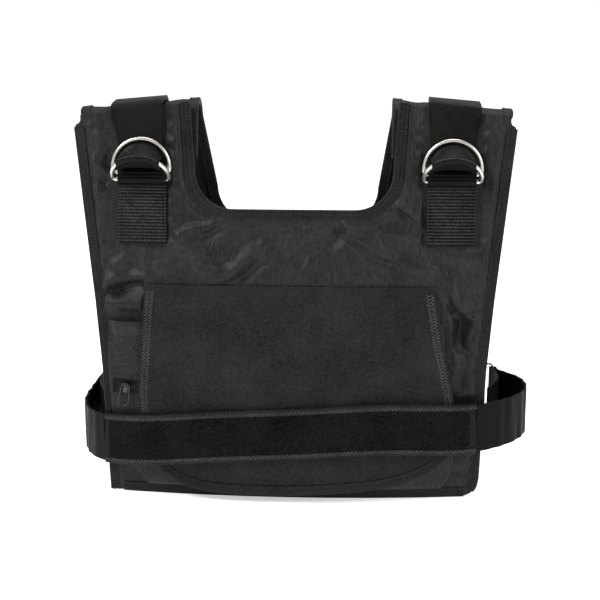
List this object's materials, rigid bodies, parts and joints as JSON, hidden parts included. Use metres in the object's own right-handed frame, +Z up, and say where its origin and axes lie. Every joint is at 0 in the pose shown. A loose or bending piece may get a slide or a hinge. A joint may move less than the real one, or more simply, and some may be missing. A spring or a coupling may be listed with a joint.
{
  "type": "weighted vest",
  "caption": "Padded black vest that stands on its hem, with webbing over each shoulder through paired rings, a flapped pouch on the front and a belt round the waist.",
  "frame": {"origin": "on the floor, under the middle of the vest's box", "axes": "+Z up, the front faces -Y, +X to the viewer's right"},
  "size_m": [0.4612, 0.1704, 0.3987],
  "materials": {
    "nylon": "ribbed, satin",
    "lining": "matte",
    "binding": "ribbed tape",
    "webbing": "woven, satin",
    "pile": "napped",
    "nickel": "polished",
    "black_metal": "satin"
  },
  "bodies": {
    "vest": {"front_panel": "nylon", "front_binding_neck": "binding", "front_binding_left": "binding", "front_binding_right": "binding", "front_binding_hem": "binding", "back_panel": "lining", "back_binding_neck": "binding", "back_binding_left": "binding", "back_binding_right": "binding", "back_binding_hem": "binding", "d_ring_upper_left": "nickel", "d_ring_lower_left": "nickel", "ring_tab_left": "webbing", "shoulder_strap_left": "webbing", "d_ring_upper_right": "nickel", "d_ring_lower_right": "nickel", "ring_tab_right": "webbing", "shoulder_strap_right": "webbing", "pocket_pouch": "nylon", "pile_patch": "pile", "zip_tape": "webbing", "zip_slider": "black_metal", "pocket_flap": "nylon", "flap_binding": "binding", "belt_band": "webbing", "belt_pile": "pile", "belt_binding_top": "binding", "belt_binding_bottom": "binding", "belt_side_left": "webbing", "back_ring_left": "nickel", "back_ring_tab_left": "webbing", "belt_side_right": "webbing", "back_ring_right": "nickel", "back_ring_tab_right": "webbing"},
    "zip_pull": {"zip_pull": "black_metal"}
  },
  "joints": [
    {"name": "zip_pull_lift", "type": "hinge", "parent": "vest", "child": "zip_pull", "pos_m": [-0.17594, -0.05988, 0.11615], "axis": [-0.9856, 0, 0.1692], "range_deg": [0, 150]}
  ]
}
